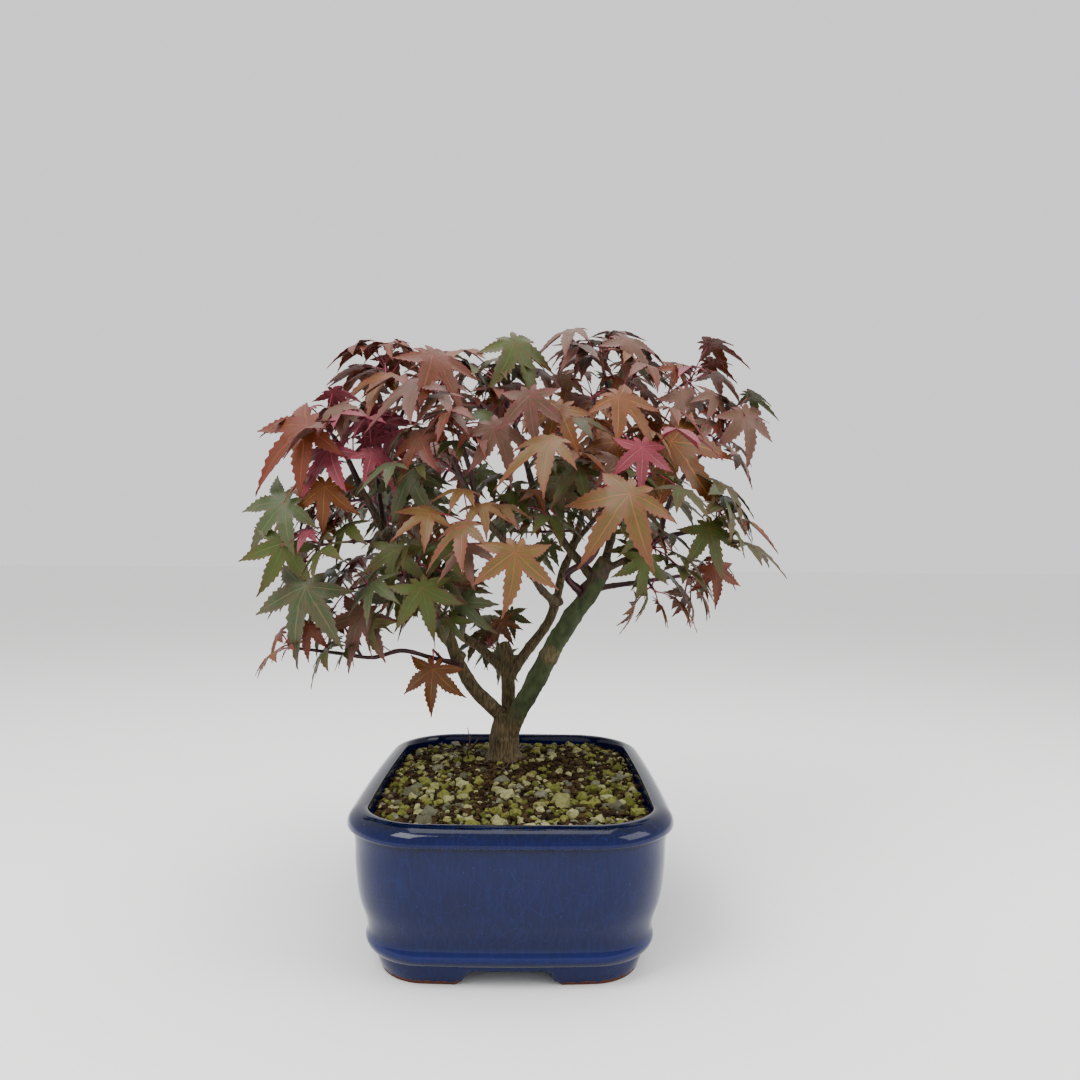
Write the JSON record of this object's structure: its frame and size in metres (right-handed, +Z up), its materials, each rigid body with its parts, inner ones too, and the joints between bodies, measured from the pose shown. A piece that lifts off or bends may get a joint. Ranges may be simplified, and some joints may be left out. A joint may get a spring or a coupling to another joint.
{
  "type": "bonsai tree in a pot",
  "caption": "Small Japanese maple bonsai with a forked trunk and a spreading crown of red, orange and green leaves, in a rectangular blue glazed pot with corner feet.",
  "frame": {"origin": "on the ground that the pot's feet stand on, under the middle of the whole bonsai's bounding box", "axes": "+Z up; -Y is the front, the pot's short side, from which the tree is meant to be seen; +X to the right seen from the front"},
  "size_m": [0.2716, 0.2366, 0.2955],
  "materials": {
    "glaze": "cobalt-blue glazed stoneware, glossy, bare brown clay under the feet",
    "soil": "dark crumbly soil with cream, grey and yellow-green pumice grains",
    "bark": "tan-brown streaked bark, green on the younger limb and dark maroon on the thin ones",
    "drain_mesh": "moulded dark plastic mesh",
    "clip_wire": "anodised brown wire",
    "leaf_olive": "olive maple leaf, soft sheen, fine veins, crimson stalk",
    "leaf_grey_green": "grey green maple leaf, soft sheen, fine veins, crimson stalk",
    "leaf_rose": "rose maple leaf, soft sheen, fine veins, crimson stalk",
    "leaf_mauve": "mauve maple leaf, soft sheen, fine veins, crimson stalk",
    "leaf_salmon": "salmon maple leaf, soft sheen, fine veins, crimson stalk",
    "leaf_orange": "orange maple leaf, soft sheen, fine veins, crimson stalk",
    "leaf_rust": "rust maple leaf, soft sheen, fine veins, crimson stalk"
  },
  "bodies": {
    "root": {"drainage_mesh_back": "drain_mesh", "drainage_mesh_front": "drain_mesh", "leaves_back_centre": "leaf_rust", "leaves_back_left_in": "leaf_olive", "leaves_back_left_low": "leaf_olive", "leaves_back_left_tip": "leaf_olive", "leaves_back_left_up": "leaf_grey_green", "leaves_back_middle": "leaf_olive", "leaves_back_right_in": "leaf_olive", "leaves_back_right_top": "leaf_orange", "leaves_centre_face": "leaf_orange", "leaves_centre_left": "leaf_orange", "leaves_centre_low": "leaf_olive", "leaves_centre_right": "leaf_olive", "leaves_centre_top": "leaf_olive", "leaves_far_left_low": "leaf_olive", "leaves_far_left_tip": "leaf_rust", "leaves_far_left_up": "leaf_mauve", "leaves_far_right_in": "leaf_olive", "leaves_far_right_low": "leaf_olive", "leaves_far_right_tip": "leaf_rust", "leaves_front_cut": "leaf_olive", "leaves_front_low": "leaf_salmon", "leaves_front_star": "leaf_salmon", "leaves_front_tip": "leaf_mauve", "leaves_hanging": "leaf_orange", "leaves_left_crown": "leaf_rust", "leaves_left_face": "leaf_olive", "leaves_left_high": "leaf_orange", "leaves_left_inner": "leaf_rose", "leaves_left_low": "leaf_grey_green", "leaves_left_middle": "leaf_olive", "leaves_left_outer": "leaf_olive", "leaves_left_shoulder": "leaf_mauve", "leaves_left_tip": "leaf_rose", "leaves_left_top": "leaf_rust", "leaves_left_under": "leaf_olive", "leaves_low_left_end": "leaf_rust", "leaves_low_left_middle": "leaf_olive", "leaves_low_right": "leaf_olive", "leaves_low_right_end": "leaf_rust", "leaves_maroon_side": "leaf_olive", "leaves_maroon_tip": "leaf_salmon", "leaves_middle_face": "leaf_olive", "leaves_right_crown": "leaf_orange", "leaves_right_end": "leaf_mauve", "leaves_right_face": "leaf_orange", "leaves_right_hanging": "leaf_orange", "leaves_right_inner": "leaf_olive", "leaves_right_middle": "leaf_olive", "leaves_right_out": "leaf_olive", "leaves_right_shoulder": "leaf_rust", "leaves_right_top": "leaf_mauve", "leaves_stub_shoot": "leaf_olive", "mesh_clip_back": "clip_wire", "mesh_clip_front": "clip_wire", "pot": "glaze", "soil": "soil", "tree": "bark"}
  },
  "joints": []
}
